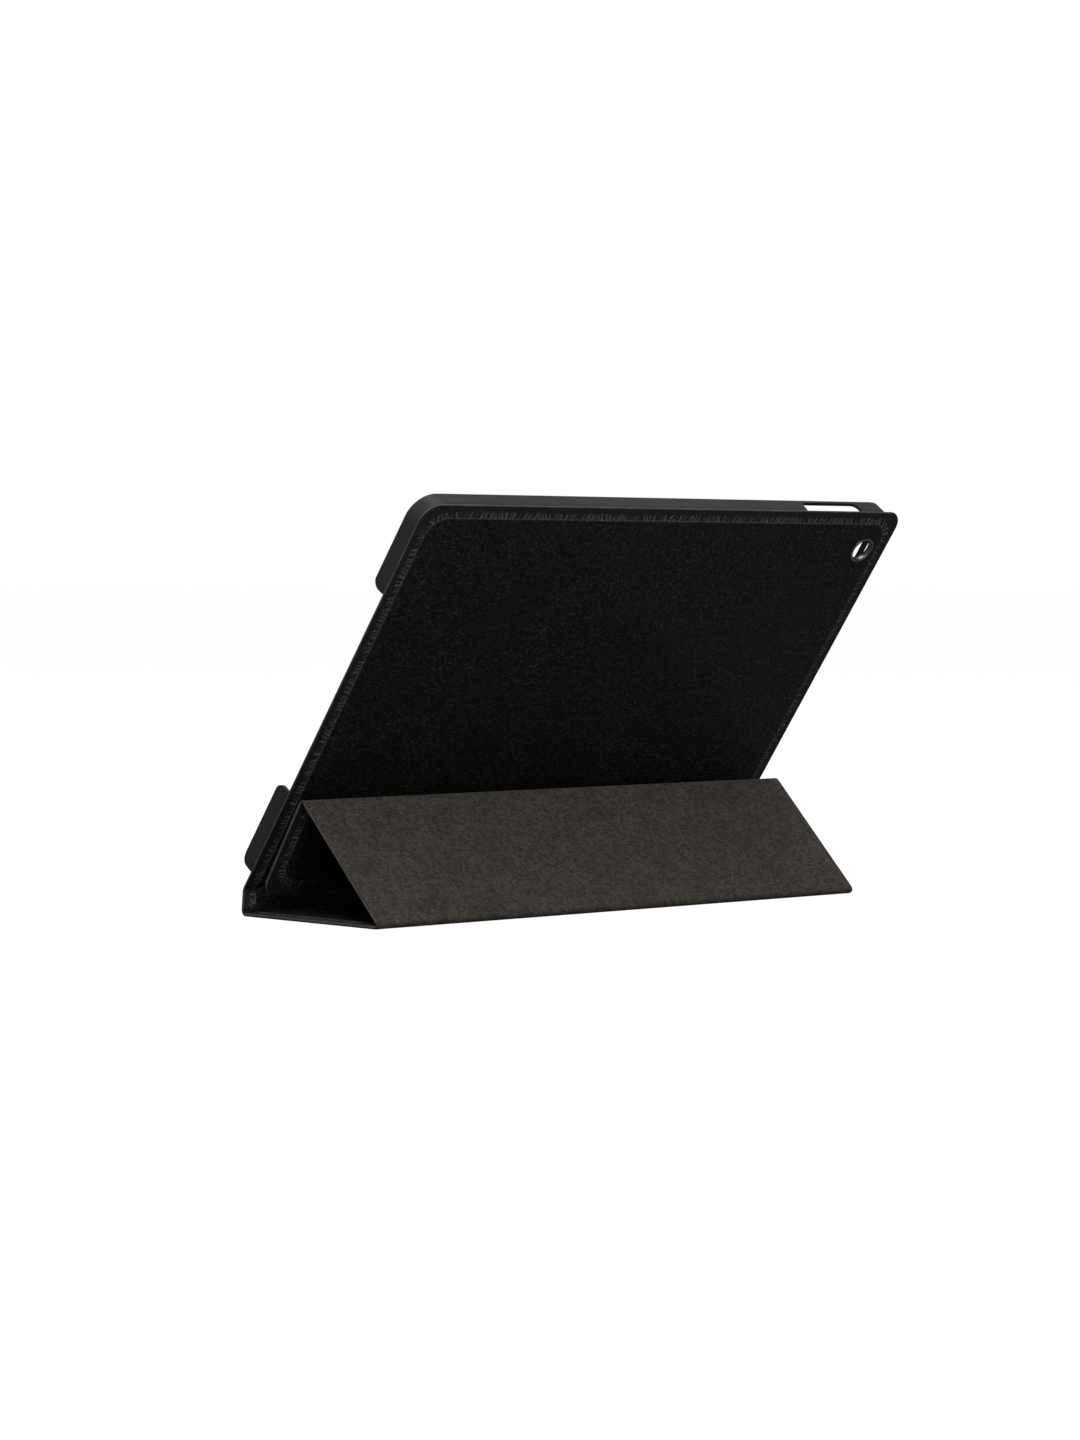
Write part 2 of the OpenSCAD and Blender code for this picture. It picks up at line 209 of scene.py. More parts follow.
class Panel:
    """A panel's frame and sizes, in millimetres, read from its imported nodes."""

    def __init__(self, body, fold, leather, board, lining=None):
        self.body = body
        self.nodes = {"leather": leather, "board": board, "lining": lining}
        self.origin = np.array(JOINTS[fold]["pos_m"])
        widest = max(NODES[board].data.polygons, key=lambda face: face.area)
        normal = np.array(widest.normal)
        outward = coords(leather).mean(0) - coords(board).mean(0)
        self.n = normal * np.sign(normal @ outward)
        along = np.cross(self.n, (1, 0, 0))
        self.v = along * np.sign(along @ (coords(board).mean(0) - self.origin))
        skin = self.local(coords(leather))
        core = self.local(coords(board))
        self.half = skin[:, 0].max()
        self.v0, self.v1 = skin[:, 1].min(), skin[:, 1].max()
        self.top = skin[:, 2].max()
        self.board_low, self.board_high = core[:, 2].min(), core[:, 2].max()
        self.low = self.local(coords(lining))[:, 2].min() if lining else self.board_low
        at_end = np.abs(skin[:, 0]) > self.half - TOUCH
        self.corner = self.v1 - skin[at_end, 1].max()

    def local(self, points):
        """x, v and n of points, in millimetres."""
        offset = (points - self.origin) / MM
        return np.column_stack([offset[:, 0], offset @ self.v, offset @ self.n])

    def place(self, points):
        """Points given as x, v and n, in metres in the case's frame."""
        points = np.asarray(points, float)
        return (
            self.origin
            + MM * points[:, :1] * np.array([[1, 0, 0]])
            + MM * points[:, 1:2] * self.v
            + MM * points[:, 2:3] * self.n
        )


def inset_distance(x, v, half, far, corner):
    """Distance in from the two ends and the far edge of an outline with round far corners."""
    x = np.abs(x)
    side, top = half - x, far - v
    radial = corner - np.hypot(x - (half - corner), v - (far - corner))
    in_corner = (x > half - corner) & (v > far - corner)
    return np.where(in_corner, radial, np.minimum(side, top))


def spread(start, stop, pitch):
    """Even places from start to stop, no further apart than the pitch."""
    return np.linspace(start, stop, max(2, int(math.ceil(abs(stop - start) / pitch)) + 1))


def outline(half, near, far, corner, inset, pitch, free):
    """Points along one inset of a panel's edges, from the near right to the near left: one
    line round a free edge and None, or the right and the left line of a panel without one."""
    x = half - inset
    if not free:
        right = [(x, v) for v in spread(near, far, pitch)]
        return right, [(-px, v) for px, v in reversed(right)]
    radius = max(corner - inset, NO_CORNER)
    side = [(x, v) for v in spread(near, far - corner, pitch)]
    turns = spread(0, math.pi / 2, pitch / max(radius, 4 * pitch))
    arc = [(half - corner + radius * math.cos(a), far - corner + radius * math.sin(a)) for a in turns[1:]]
    across = [(px, far - inset) for px in spread(half - corner, -half + corner, pitch)]
    right = side + arc
    left = [(-px, v) for px, v in reversed(right)]
    return right + across[1:-1] + left, None


def columns(half, rings):
    """Places along x at which a fold's section and its panels' edges both have points."""
    right = [half - d for d in rings]
    middle = list(spread(right[-1], -right[-1], COARSE_PITCH))[1:-1]
    return np.array(right + middle + [-x for x in reversed(right)])


def slab(near, far, half, corner, rings, step_rings, holes, free):
    """Flat points and triangles of a panel's face. Returns points, triangles and loops:
    the outline first, then the holes."""
    points, loops = [], []

    def add(new):
        start = len(points)
        points.extend(new)
        return list(range(start, len(points)))

    all_rings = list(rings) + list(step_rings)
    xs = columns(half, all_rings)
    right, left = outline(half, near, far, corner, rings[0], FINE_PITCH, free)
    bottom = [(x, near) for x in xs[::-1][1:-1]]
    if free:
        loops.append(add(right + bottom))
    else:
        top = [(x, far) for x in xs[1:-1]]
        loops.append(add(right + top + left + bottom))
    for d in all_rings[1:]:
        bend = corner if d in rings else max(corner, STEP_CORNER)
        one, two = outline(half, near, far, bend, d, FINE_PITCH, free)
        add(one[1:-1])
        if two:
            add(two[1:-1])
    for centre, radii in holes:
        for k, radius in enumerate(radii):
            count = max(LEAST_TURNS, int(2 * math.pi * radius / FINE_PITCH))
            ring = [
                (centre[0] + radius * math.cos(2 * math.pi * i / count),
                 centre[1] + radius * math.sin(2 * math.pi * i / count))
                for i in range(count)
            ]
            placed = add(ring)
            if k == 0:
                loops.append(placed)
    margin = all_rings[-1]
    inner_far = far - margin - COARSE_PITCH / 2 if free else far
    for v in spread(near, inner_far, COARSE_PITCH)[1:-1]:
        for x in spread(half - margin, -half + margin, COARSE_PITCH)[1:-1]:
            if all(math.dist((x, v), c) > max(r) + 1 for c, r in holes):
                points.append((x, v))
    if free:
        last_row = spread(half - STEP_CORNER, -half + STEP_CORNER, COARSE_PITCH)
        points.extend((x, inner_far) for x in last_row)
    triangles = triangulate(points, loops)
    flat = np.array(points)
    centres = flat[np.array(triangles)].mean(1)
    kept = np.ones(len(triangles), bool)
    for centre, radii in holes:
        kept &= np.hypot(*(centres - np.array(centre)).T) > radii[0] * math.cos(math.pi / LEAST_TURNS)
    return flat, [t for t, k in zip(triangles, kept) if k], loops


def close_slab(flat, heights, triangles, loops, middle, walls):
    """Closes a face into a shell. walls are rings of (inset x, inset v, height) inside the
    face's edge; a hole takes their heights only. A flat face ends the shell at the last."""
    points = [np.column_stack([flat, heights])]
    faces = [tuple(t) for t in triangles]
    count = len(flat)
    ends = []
    half = np.abs(flat[:, 0]).max()
    span = np.abs(flat[:, 1] - middle).max()
    for number, loop in enumerate(loops):
        ring = list(loop)
        base = flat[loop]
        for inset_x, inset_v, height in walls:
            if number == 0:
                new = np.column_stack([
                    base[:, 0] * (1 - inset_x / half),
                    middle + (base[:, 1] - middle) * (1 - inset_v / span),
                ])
            else:
                new = base
            points.append(np.column_stack([new, np.full(len(new), height)]))
            fresh = list(range(count, count + len(new)))
            count += len(new)
            size = len(ring)
            for i in range(size):
                j = (i + 1) % size
                faces.append((ring[i], ring[j], fresh[j], fresh[i]))
            ring = fresh
        ends.append(ring)
    merged = np.vstack(points)
    cap_points = [merged[i, :2] for ring in ends for i in ring]
    index = [i for ring in ends for i in ring]
    starts = np.cumsum([0] + [len(ring) for ring in ends])
    cap_loops = [list(range(starts[k], starts[k + 1])) for k in range(len(ends))]
    cap = triangulate(cap_points, cap_loops)
    cap_flat = np.array(cap_points)
    holes = []
    for loop in cap_loops[1:]:
        centre = cap_flat[loop].mean(0)
        holes.append((centre, math.dist(cap_flat[loop[0]], centre) * HOLE_SHARE))
    for triangle in cap:
        middle_point = cap_flat[triangle].mean(0)
        if not any(math.dist(middle_point, centre) < radius for centre, radius in holes):
            faces.append(tuple(index[i] for i in triangle))
    return merged, faces


# ---- Leather ----

def step_profile(distance):
    """Share of the way from the pressed border up to the padded field."""
    return np.clip((distance - STEP_FROM) / (STEP_TO - STEP_FROM), 0, 1) ** STEP_CURVE


def round_drop(distance, radius):
    """How far a rounded edge lies below the face, by the distance in from it."""
    inside = np.clip(radius - distance, 0, radius)
    return radius - np.sqrt(np.maximum(radius ** 2 - inside ** 2, 0))


def leather_drop(distance):
    """How far the leather lies below its own highest face, without puckers."""
    return BORDER_DROP * (1 - step_profile(distance)) + round_drop(distance, EDGE_RADIUS)


def felt_drop(distance):
    """How far the lining's rounded edge lies below its face."""
    return round_drop(distance, FELT_RADIUS)


def ripples(run, across):
    """Small irregular puckers square to an edge, as a height between about -1 and 1."""
    lean = 0.35 * np.sin(run / 4.1) + 0.2 * np.sin(run / 1.7 + 1)
    place = run + lean * across
    # Three waves of unlike length, each of them wandering, so that no pucker repeats
    wave = np.sin(2 * math.pi * place / 1.43 + 1.3 * np.sin(place / 2.9))
    wave += 0.8 * np.sin(2 * math.pi * place / 1.83 + 1.7 * np.sin(place / 5.3 + 2))
    wave += 0.6 * np.sin(2 * math.pi * place / 2.71 + 1)
    return wave / 2.4 * (0.75 + 0.25 * np.sin(place / 7.7 + np.sin(place / 3.1)))


def leather_relief(panel, x, v, free):
    """Height of the leather's face over the CAD face, before any dent. Also how far in each
    point lies, how much painted highlight it takes on a pucker's crest or on the line along the step, and
    how much it is on the border."""
    far = panel.v1 if free else NO_EDGE
    edge = inset_distance(x, v, panel.half, far, panel.corner if free else NO_CORNER)
    bend = STEP_CORNER if free else NO_CORNER
    step = inset_distance(x, v, panel.half, far, bend)
    at_side = panel.half - np.abs(x) < (far - v)
    run = np.where(at_side, v, np.abs(x) + FAR_SHIFT) + SIDE_SHIFT * np.sign(x)
    fade = smooth((v - panel.v0) / PUCKER_FADE)
    if not free:
        fade = fade * smooth((panel.v1 - v) / PUCKER_FADE)
    band = smooth((step - STEP_FROM + PUCKER_START) / PUCKER_START_FADE)
    band = band * smooth((STEP_TO + PUCKER_END - step) / PUCKER_END_FADE)
    height = -BORDER_DROP * (1 - step_profile(step)) - round_drop(edge, EDGE_RADIUS)
    pucker = band * fade * ripples(run, step - STEP_TO)
    # Painted highlight: the line along the step's top and the puckers' crests are lightened as if they
    # caught the light
    line = np.exp(-((step - STEP_TO + LINE_INSET) / LINE_WIDTH) ** 2)
    line = line * (0.55 + 0.45 * ripples(0.7 * run, 0))
    crest_highlight = np.clip(np.maximum(CREST_GAIN * (pucker - CREST_FROM), line * fade), 0, 1)
    return height + RIPPLE * pucker, edge, crest_highlight, 1 - step_profile(step)


def leather_skin(name, panel, free=False, holes=(), dents=()):
    """The leather of one panel: pressed border, puckers, round edge, and the turned edge."""
    corner = panel.corner if free else 0.0
    flat, triangles, loops = slab(
        panel.v0, panel.v1, panel.half, corner, EDGE_RINGS, STEP_RINGS, holes, free
    )
    relief, edge, crest_highlight, border = leather_relief(panel, flat[:, 0], flat[:, 1], free)
    for centre, dent in dents:
        relief = relief + dent(np.hypot(flat[:, 0] - centre[0], flat[:, 1] - centre[1]))
    heights = panel.top + relief
    walls = [(a, b, panel.board_low + height) for a, b, height in TURN_RINGS]
    walls.append((TURNED_EDGE, FOLD_LIP, panel.board_high))
    if free:
        walls = [(a, max(a, b), height) for a, b, height in walls]
    middle = (panel.v0 + panel.v1) / 2
    points, faces = close_slab(flat, heights, triangles, loops, middle, walls)
    marks = {}
    for title, values in (("edge", edge), ("crest_highlight", crest_highlight), ("border", border)):
        marks[title] = np.zeros(len(points))
        marks[title][: len(flat)] = values
    return make_object(name, panel.place(points), faces, panel.body, marks)


# ---- Lining ----

def felt_plate(name, panel, free=False):
    """The microfibre lining of one panel, a little inside the leather's edge."""
    corner = max(panel.corner - FELT_INSET, FELT_CORNER) if free else 0.0
    half = panel.half - FELT_INSET
    far = panel.v1 - FELT_INSET if free else panel.v1
    flat, triangles, loops = slab(panel.v0, far, half, corner, FELT_RINGS, (), (), free)
    free_edge, bend = (far, corner) if free else (NO_EDGE, NO_CORNER)
    edge = inset_distance(flat[:, 0], flat[:, 1], half, free_edge, bend)
    heights = panel.low + felt_drop(edge)
    middle = (panel.v0 + far) / 2
    walls = [(0, 0, panel.board_low)]
    points, faces = close_slab(flat, heights, triangles, loops, middle, walls)
    return make_object(name, panel.place(points), faces, panel.body)


# ---- Folds ----

def bezier(p0, p1, p2, p3, t):
    """Points along a cubic curve."""
    t = t[:, None]
    return (1 - t) ** 3 * p0 + 3 * (1 - t) ** 2 * t * p1 + 3 * (1 - t) * t ** 2 * p2 + t ** 3 * p3


def section_point(panel, v, n):
    """A panel's v and n as y and z of the case, in millimetres."""
    return panel.place([[0, v, n]])[0][1:] / MM


def bend_curve(side_a, n_a, side_b, n_b, bulge):
    """A smooth bend in the section plane, from the edge of one panel to the edge of the next,
    and the way towards the lining at each of its points. bulge is towards the lining."""
    (panel_a, v_a, out_a), (panel_b, v_b, out_b) = side_a, side_b
    start, end = section_point(panel_a, v_a, n_a), section_point(panel_b, v_b, n_b)
    go = panel_a.v[1:] * out_a
    come = -panel_b.v[1:] * out_b
    cross = go[0] * come[1] - go[1] * come[0]
    turn = math.acos(max(-1, min(1, go @ come)))
    gap = end - start
    reach_a = (gap[0] * come[1] - gap[1] * come[0]) / cross
    reach_b = abs((gap[0] * go[1] - gap[1] * go[0]) / cross)
    # Handles as for a circle's arc, so that the bend is round where both reaches are equal
    handle = 4 / 3 * math.tan(turn / 4) / math.tan(turn / 2)
    t = np.linspace(0, 1, BEND_STEPS + 1)
    line = bezier(start, start + go * reach_a * handle, end - come * reach_b * handle, end, t)
    tangent = np.gradient(line, axis=0)
    tangent /= np.linalg.norm(tangent, axis=1)[:, None]
    away = np.column_stack([tangent[:, 1], -tangent[:, 0]])
    away *= np.sign(away[0] @ -panel_a.n[1:])
    return line + away * (bulge * np.sin(math.pi * t) ** 2)[:, None], away


def fold_strip(name, sides, levels, bulges, half, rings, drop, tail=0.0):
    """A strip of sheet across one fold, bending between its two panels. levels are the n of
    its outer face and of its glued face on each panel, bulges are of those two faces, drop
    lowers the outer face near the ends, and tail runs on over the first panel."""
    (side_a, side_b), (levels_a, levels_b) = sides, levels
    outer, away = bend_curve(side_a, levels_a[0], side_b, levels_b[0], bulges[0])
    inner, _ = bend_curve(side_a, levels_a[1], side_b, levels_b[1], bulges[1])
    sign = 1 if levels_a[0] > levels_a[1] else -1
    if tail:
        back = -side_a[0].v[1:] * side_a[2] * tail
        outer = np.vstack([outer[0] + back, outer])
        inner = np.vstack([inner[0] + back, inner])
        away = np.vstack([away[0], away])
    xs = columns(half, rings)
    edge = half - np.abs(xs)
    lowered = drop(edge)
    rows = len(outer)
    size = 2 * rows
    points = []
    for x, down in zip(xs, lowered):
        top = outer + away * down * sign
        ring = np.vstack([top, inner[::-1]])
        points.append(np.column_stack([np.full(size, x), ring]))
    faces = []
    for i in range(len(xs) - 1):
        for j in range(size):
            k = (j + 1) % size
            faces.append((i * size + j, i * size + k, (i + 1) * size + k, (i + 1) * size + j))
    last = (len(xs) - 1) * size
    for start in (0, last):
        for j in range(rows - 1):
            faces.append((start + j, start + j + 1, start + size - 2 - j, start + size - 1 - j))
    points = np.vstack(points) * MM
    distance = np.repeat(edge, size)
    piece = make_object(name, points, faces, None, {"edge": distance})
    first = 1 if tail else 0
    ends_a = np.array([outer[first], inner[first]]) * MM
    ends_b = np.array([outer[-1], inner[-1]]) * MM
    chord = ends_b.mean(0) - ends_a.mean(0)
    chord /= np.linalg.norm(chord)
    centre = (ends_a.mean(0) + ends_b.mean(0)) / 2
    low = max((ends_a - centre) @ chord)
    high = min((ends_b - centre) @ chord)
    start, end = centre + chord * low, centre + chord * high
    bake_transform(piece)
    return piece


# ---- Materials ----

class Shader:
    """A new material and short ways to add and join its nodes."""

    def __init__(self, name, **settings):
        self.material = bpy.data.materials.new(name)
        self.material.use_nodes = True
        self.tree = self.material.node_tree
        self.bsdf = self.tree.nodes["Principled BSDF"]
        for key, value in settings.items():
            self.bsdf.inputs[key.replace("_", " ")].default_value = value
        self.place = self.add("ShaderNodeTexCoord").outputs["Object"]

    def add(self, kind, **settings):
        node = self.tree.nodes.new(kind)
        for key, value in settings.items():
            setattr(node, key, value)
        return node

    def join(self, source, target):
        self.tree.links.new(source, target)

    def stretched(self, scale):
        mapping = self.add("ShaderNodeMapping")
        mapping.inputs["Scale"].default_value = scale
        self.join(self.place, mapping.inputs["Vector"])
        return mapping.outputs["Vector"]

    def noise(self, scale, detail=4, roughness=0.5, vector=None):
        node = self.add("ShaderNodeTexNoise")
        node.inputs["Scale"].default_value = scale
        node.inputs["Detail"].default_value = detail
        node.inputs["Roughness"].default_value = roughness
        self.join(vector or self.place, node.inputs["Vector"])
        return node.outputs["Fac"]

    def cells(self, scale, feature="F1"):
        node = self.add("ShaderNodeTexVoronoi", feature=feature)
        node.inputs["Scale"].default_value = scale
        self.join(self.place, node.inputs["Vector"])
        return node.outputs["Distance"]

    def attribute(self, name):
        node = self.add("ShaderNodeAttribute", attribute_name=name)
        return node.outputs["Fac"]

    def level(self, value, low, high, to_low=0.0, to_high=1.0):
        node = self.add("ShaderNodeMapRange")
        node.inputs["From Min"].default_value = low
        node.inputs["From Max"].default_value = high
        node.inputs["To Min"].default_value = to_low
        node.inputs["To Max"].default_value = to_high
        self.join(value, node.inputs["Value"])
        return node.outputs["Result"]

    def math(self, operation, a, b):
        node = self.add("ShaderNodeMath", operation=operation)
        for socket, value in zip(node.inputs, (a, b)):
            if isinstance(value, (int, float)):
                socket.default_value = value
            else:
                self.join(value, socket)
        return node.outputs[0]

    def mix(self, factor, low, high):
        node = self.add("ShaderNodeMix", data_type="RGBA")
        self.join(factor, node.inputs["Factor"])
        for key, value in (("A", low), ("B", high)):
            socket = next(s for s in node.inputs if s.name == key and s.type == "RGBA")
            if isinstance(value, tuple):
                socket.default_value = (*value, 1)
            else:
                self.join(value, socket)
        return next(s for s in node.outputs if s.type == "RGBA")

    def colour(self, value):
        self.join(value, self.bsdf.inputs["Base Color"])

    def rough(self, value):
        self.join(value, self.bsdf.inputs["Roughness"])

    def bump(self, height, strength, distance, normal=None):
        node = self.add("ShaderNodeBump")
        node.inputs["Strength"].default_value = strength
        node.inputs["Distance"].default_value = distance
        self.join(height, node.inputs["Height"])
        if normal:
            self.join(normal, node.inputs["Normal"])
        self.join(node.outputs["Normal"], self.bsdf.inputs["Normal"])
        return node.outputs["Normal"]


def leather_material():
    """Black grained leather: pebbles with painted shade in their crevices and painted highlights on their
    tops, painted highlights as light flecks on the grain, a slow change of gloss, a paler border, painted
    highlights on the puckers and along the step's line, and a painted highlight along the rounded edges."""
    m = Shader("leather_black", Roughness=0.5, Specular_IOR_Level=0.07)
    warp = m.noise(420, 3)
    pebbles = m.cells(640, "SMOOTH_F1")
    small = m.cells(1150)
    pores = m.noise(2600, 3, 0.6)
    cloud = m.level(m.noise(26, 3, 0.6), 0.35, 0.65)
    # Painted shade in the crevices between the pebbles and painted highlight on their tops
    shade = m.mix(m.level(pebbles, 0.08, 0.6), (0.0125, 0.0122, 0.0112), (0.0042, 0.0041, 0.0037))
    # Painted highlights: sparse light flecks where the grain would catch the light, more of them in
    # patches
    fleck_highlight = m.level(m.noise(1.0, 3, 0.6, m.stretched((800, 1250, 1250))), 0.54, 0.7)
    fleck_highlight = m.math("MULTIPLY", fleck_highlight, m.level(cloud, 0, 1, 0.35, 0.8))
    shade = m.mix(fleck_highlight, shade, (0.068, 0.067, 0.063))
    shade = m.mix(m.math("MULTIPLY", m.attribute("border"), 0.5), shade, (0.021, 0.0208, 0.019))
    # Painted highlight on the puckers' crests and along the step's line, broken up by noise
    crest_highlight_patches = m.level(m.noise(900, 2), 0.3, 0.7, 0.45, 0.95)
    shade = m.mix(m.math("MULTIPLY", m.attribute("crest_highlight"), crest_highlight_patches), shade, (0.13, 0.127, 0.12))
    # Painted highlight along the rounded edges of the leather, where the edge would catch the light,
    # broken up by noise
    edge_highlight_patches = m.level(m.noise(300), 0.3, 0.7, 0.55, 1.0)
    edge_highlight = m.math("MULTIPLY", m.level(m.attribute("edge"), 0.15, 0.5, 1.0, 0.0), edge_highlight_patches)
    m.colour(m.mix(m.math("MULTIPLY", edge_highlight, 0.6), shade, (0.1, 0.098, 0.093)))
    m.rough(m.math("ADD", m.level(cloud, 0, 1, 0.40, 0.52), m.level(pores, 0.3, 0.7, -0.03, 0.05)))
    grain = m.math("ADD", m.math("MULTIPLY", pebbles, -0.7), m.math("MULTIPLY", small, -0.45))
    grain = m.math("ADD", grain, m.math("MULTIPLY", warp, 0.5))
    coarse = m.bump(grain, 0.8, 0.00025)
    m.bump(pores, 0.4, 0.00005, coarse)
    return m.material


def felt_material():
    """Grey-brown microfibre: short fibres mostly along the case, mottled, with a soft sheen."""
    m = Shader("microfibre_brown", Roughness=0.95, Specular_IOR_Level=0.15,
               Sheen_Weight=0.05, Sheen_Roughness=0.5)
    m.bsdf.inputs["Sheen Tint"].default_value = (0.9, 0.8, 0.7, 1)
    fibres = m.noise(1.0, 5, 0.7, m.stretched((620, 1500, 1500)))
    mottle = m.noise(430, 5, 0.7)
    blotch = m.noise(90, 3, 0.55)
    warm = m.mix(m.level(mottle, 0.42, 0.58), (0.0128, 0.0108, 0.0091), (0.0352, 0.0302, 0.0252))
    cool = m.mix(m.level(fibres, 0.46, 0.66), warm, (0.056, 0.048, 0.040))
    deep = m.mix(m.level(blotch, 0.42, 0.6, 0.0, 0.25), cool, (0.0125, 0.0105, 0.009))
    m.colour(deep)
    m.rough(m.level(fibres, 0.3, 0.7, 0.86, 0.98))
    coarse = m.bump(mottle, 0.5, 0.00012)
    m.bump(fibres, 0.6, 0.00008, coarse)
    return m.material


def plastic_material():
    """Matte black moulded plastic with a fine spark texture."""
    m = Shader("plastic_black", Roughness=0.5, Specular_IOR_Level=0.08)
    spark = m.noise(3400, 4, 0.6)
    slow = m.noise(30, 3)
    m.colour(m.mix(m.level(slow, 0.3, 0.7), (0.0215, 0.0203, 0.0190), (0.0260, 0.0246, 0.0232)))
    m.rough(m.math("ADD", m.level(spark, 0.3, 0.7, 0.42, 0.54), m.level(slow, 0.3, 0.7, -0.03, 0.03)))
    m.bump(spark, 0.5, 0.00004)
    return m.material


def board_material():
    """Grey recycled board with flecks."""
    m = Shader("board_grey", Roughness=0.9)
    flecks = m.noise(900, 6, 0.7, m.stretched((1, 2.2, 2.2)))
    m.colour(m.mix(m.level(flecks, 0.35, 0.65), (0.19, 0.17, 0.145), (0.30, 0.27, 0.235)))
    m.rough(m.level(flecks, 0.3, 0.7, 0.82, 0.96))
    m.bump(flecks, 0.4, 0.00005)
    return m.material


def metal_material(name, low, high, roughness, brush):
    """Satin metal with fine brushing along the case and slightly uneven gloss."""
    m = Shader(name, Metallic=1.0, Roughness=roughness)
    lines = m.noise(1.0, 4, 0.6, m.stretched(brush))
    slow = m.noise(120, 3)
    shade = m.mix(m.level(slow, 0.35, 0.65), low, high)
    # Painted shade: near black where the mesh marks the ring's bore and barrel
    m.colour(m.mix(m.attribute("bore"), shade, (0.006, 0.006, 0.0065)))
    m.rough(m.level(lines, 0.3, 0.7, roughness - 0.07, roughness + 0.08))
    m.bump(lines, 0.25, 0.00002)
    return m.material


def seen(tree, low, high):
    """A strength: high where the camera sees the surface or sky itself, low for other light."""
    node = tree.nodes.new("ShaderNodeMapRange")
    node.inputs["To Min"].default_value = low
    node.inputs["To Max"].default_value = high
    path = tree.nodes.new("ShaderNodeLightPath")
    tree.links.new(path.outputs["Is Camera Ray"], node.inputs["Value"])
    return node.outputs["Result"]


def floor_material():
    """Pale matt floor with the faintest tooth. It glows for the camera only, so it looks pale
    far away too and throws no more light on the case."""
    m = Shader("floor_pale", Roughness=0.9, Specular_IOR_Level=0.1)
    tooth = m.noise(240, 4)
    m.colour(m.mix(tooth, (0.155, 0.155, 0.154), (0.165, 0.165, 0.164)))
    m.rough(m.level(tooth, 0.3, 0.7, 0.86, 0.94))
    m.bump(tooth, 0.05, 0.0002)
    m.bsdf.inputs["Emission Color"].default_value = (1, 1, 1, 1)
    m.join(seen(m.tree, 0.0, FLOOR_GLOW), m.bsdf.inputs["Emission Strength"])
    return m.material


def paint(piece, material):
    """Gives a piece this one material."""
    piece.data.materials.clear()
    piece.data.materials.append(material)


# ---- The case ----

def camera_and_dimple(back):
    """Centre and hole radius of the camera, and the dimple's centre, on the back panel."""
    ring = back.local(coords("camera_ring"))
    centre = (ring[:, :2].min(0) + ring[:, :2].max(0)) / 2
    skin = back.local(coords("back_leather"))
    near = np.hypot(*(skin[:, :2] - centre).T)
    hole = near.min()
    # The dimple's floor lies well below the leather's face and over the board
    sunk = (skin[:, 2] < back.top - 0.1) & (skin[:, 2] > back.board_high + 0.05)
    dimple = (skin[sunk, :2].min(0) + skin[sunk, :2].max(0)) / 2
    return tuple(centre), hole, tuple(dimple)


def ring_trim(back, centre):
    """The camera ring, turned: a rounded flange on the leather and a barrel through the tray."""
    node = back.local(coords("camera_ring"))
    radii = np.hypot(node[:, 0] - centre[0], node[:, 1] - centre[1])
    outer, bore = radii.max(), radii.min()
    high, low = node[:, 2].max(), node[:, 2].min()
    barrel = radii[node[:, 2] < low + CHAMFER].max()
    face = back.top
    middle, reach = (outer + bore) / 2, (outer - bore) / 2
    profile = []
    for k in range(CROWN_STEPS + 1):
        a = math.pi * k / CROWN_STEPS
        rise = (high - face) * math.sin(a) ** CROWN_CURVE
        profile.append((middle + reach * math.cos(a), face + rise))
    profile += [
        (bore, low + CHAMFER),
        (bore + CHAMFER, low),
        (barrel - CHAMFER, low),
        (barrel, low + CHAMFER),
        (barrel, face - FLANGE_SUNK[0]),
        (outer - FLANGE_INSET, face - FLANGE_SUNK[1]),
    ]
    points, faces = [], []
    for i in range(RING_TURNS):
        a = 2 * math.pi * i / RING_TURNS
        for r, n in profile:
            points.append((centre[0] + r * math.cos(a), centre[1] + r * math.sin(a), n))
    size = len(profile)
    for i in range(RING_TURNS):
        for j in range(size):
            k, n = (j + 1) % size, (i + 1) % RING_TURNS
            faces.append((i * size + j, i * size + k, n * size + k, n * size + j))
    # Painted shade: near black where the crown turns into the bore, and all the way down the barrel
    painted_bore_shade = [float((n > face + 0.02 and r < bore + 0.2) or n < face - 0.1) for r, n in profile]
    marks = {"bore": painted_bore_shade * RING_TURNS}
    piece = make_object("camera_ring_trim", back.place(points), faces, back.body, marks, 50)
    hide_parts("camera_ring")
    return piece


